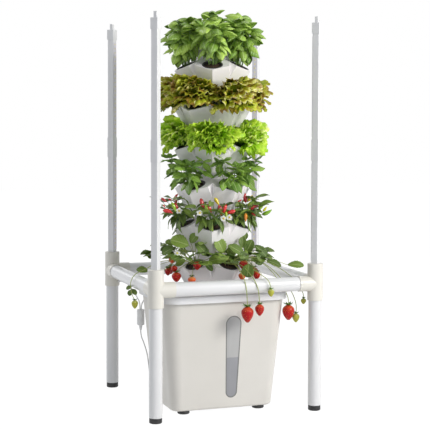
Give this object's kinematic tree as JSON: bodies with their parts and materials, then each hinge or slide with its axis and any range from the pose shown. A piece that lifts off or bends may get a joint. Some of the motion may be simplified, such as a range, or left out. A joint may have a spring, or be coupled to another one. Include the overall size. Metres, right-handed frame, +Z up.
{
  "type": "hydroponic tower",
  "caption": "Free-standing planter tower of stacked faceted tiers on a tapered water tank, inside a pipe frame with corner light poles.",
  "frame": {"origin": "on the floor, in the middle of the four legs", "axes": "+Z up, +X to the right along the front rail, +Y to the back; the tank's window faces -Y"},
  "size_m": [0.689, 0.689, 1.491],
  "materials": {
    "frame_pipe": "smooth white extruded pipe",
    "connector": "satin ivory moulding",
    "light_bar": "satin white",
    "led_strip": "pale strip with yellow lamps",
    "tank": "satin warm white moulding",
    "window": "translucent grey",
    "lid": "satin white",
    "rubber_foot": "matt black",
    "planter": "satin white moulding",
    "net_pot": "matt black",
    "growing_medium": "dark moist fibre",
    "basil_leaf": "glossy leaf",
    "red_lettuce_leaf": "frilled leaf with red edges",
    "green_lettuce_leaf": "frilled lime leaf",
    "mint_leaf": "soft green leaf",
    "chilli_leaf": "dark green leaf, red fruit",
    "strawberry_leaf": "ribbed green leaf, red fruit",
    "pump": "satin black",
    "riser": "satin white pipe",
    "splitter": "satin white",
    "gland": "soft white",
    "cord": "smooth white sheath",
    "plug": "satin white"
  },
  "bodies": {
    "root": {"rail_front": "frame_pipe", "rail_back": "frame_pipe", "rail_left": "frame_pipe", "rail_right": "frame_pipe", "leg_front_left": "frame_pipe", "connector_front_left": "connector", "leg_front_right": "frame_pipe", "connector_front_right": "connector", "leg_back_right": "frame_pipe", "connector_back_right": "connector", "leg_back_left": "frame_pipe", "connector_back_left": "connector", "leg_feet": "rubber_foot", "tank_body": "tank", "tank_window": "window", "tank_feet": "rubber_foot", "tank_lid": "lid", "planter_tier_1": "planter", "planter_tier_2": "planter", "planter_tier_3": "planter", "planter_tier_4": "planter", "planter_tier_5": "planter", "planter_tier_6": "planter", "basil_plants": "basil_leaf", "red_lettuce_plants": "red_lettuce_leaf", "green_lettuce_plants": "green_lettuce_leaf", "mint_plants": "mint_leaf", "chilli_plants": "chilli_leaf", "strawberry_plants": "strawberry_leaf", "net_pots": "net_pot", "growing_medium": "growing_medium", "pump_body": "pump", "pump_suction_cups": "rubber_foot", "pump_strainer": "pump", "riser_pipe": "riser", "lead_splitter": "splitter", "lead_glands": "gland", "frame_lead": "cord", "pump_lead": "cord", "supply_cord": "cord", "supply_coil": "cord", "supply_plug": "plug"},
    "pole_front_left": {"light_bars_front_left": "light_bar", "led_strips_front_left": "led_strip", "pole_joiner_front_left": "light_bar", "pole_cap_front_left": "light_bar"},
    "pole_front_right": {"light_bars_front_right": "light_bar", "led_strips_front_right": "led_strip", "pole_joiner_front_right": "light_bar", "pole_cap_front_right": "light_bar"},
    "pole_back_right": {"light_bars_back_right": "light_bar", "led_strips_back_right": "led_strip", "pole_joiner_back_right": "light_bar", "pole_cap_back_right": "light_bar"},
    "pole_back_left": {"light_bars_back_left": "light_bar", "led_strips_back_left": "led_strip", "pole_joiner_back_left": "light_bar", "pole_cap_back_left": "light_bar"},
    "top_cap": {"tower_top_cap": "planter"},
    "impeller": {"pump_impeller": "pump"}
  },
  "joints": [
    {"name": "pole_lift_front_left", "type": "slide", "parent": "root", "child": "pole_front_left", "axis": [0, 0, 1], "range_m": [0, 0.06]},
    {"name": "pole_lift_front_right", "type": "slide", "parent": "root", "child": "pole_front_right", "axis": [0, 0, 1], "range_m": [0, 0.06]},
    {"name": "pole_lift_back_right", "type": "slide", "parent": "root", "child": "pole_back_right", "axis": [0, 0, 1], "range_m": [0, 0.06]},
    {"name": "pole_lift_back_left", "type": "slide", "parent": "root", "child": "pole_back_left", "axis": [0, 0, 1], "range_m": [0, 0.06]},
    {"name": "top_cap_lift", "type": "slide", "parent": "root", "child": "top_cap", "axis": [0, 0, 1], "range_m": [0, 0.03]},
    {"name": "impeller_spin", "type": "hinge", "parent": "root", "child": "impeller", "pos_m": [-0.025, -0.1137, 0.045], "axis": [0, 1, 0], "continuous": true}
  ]
}
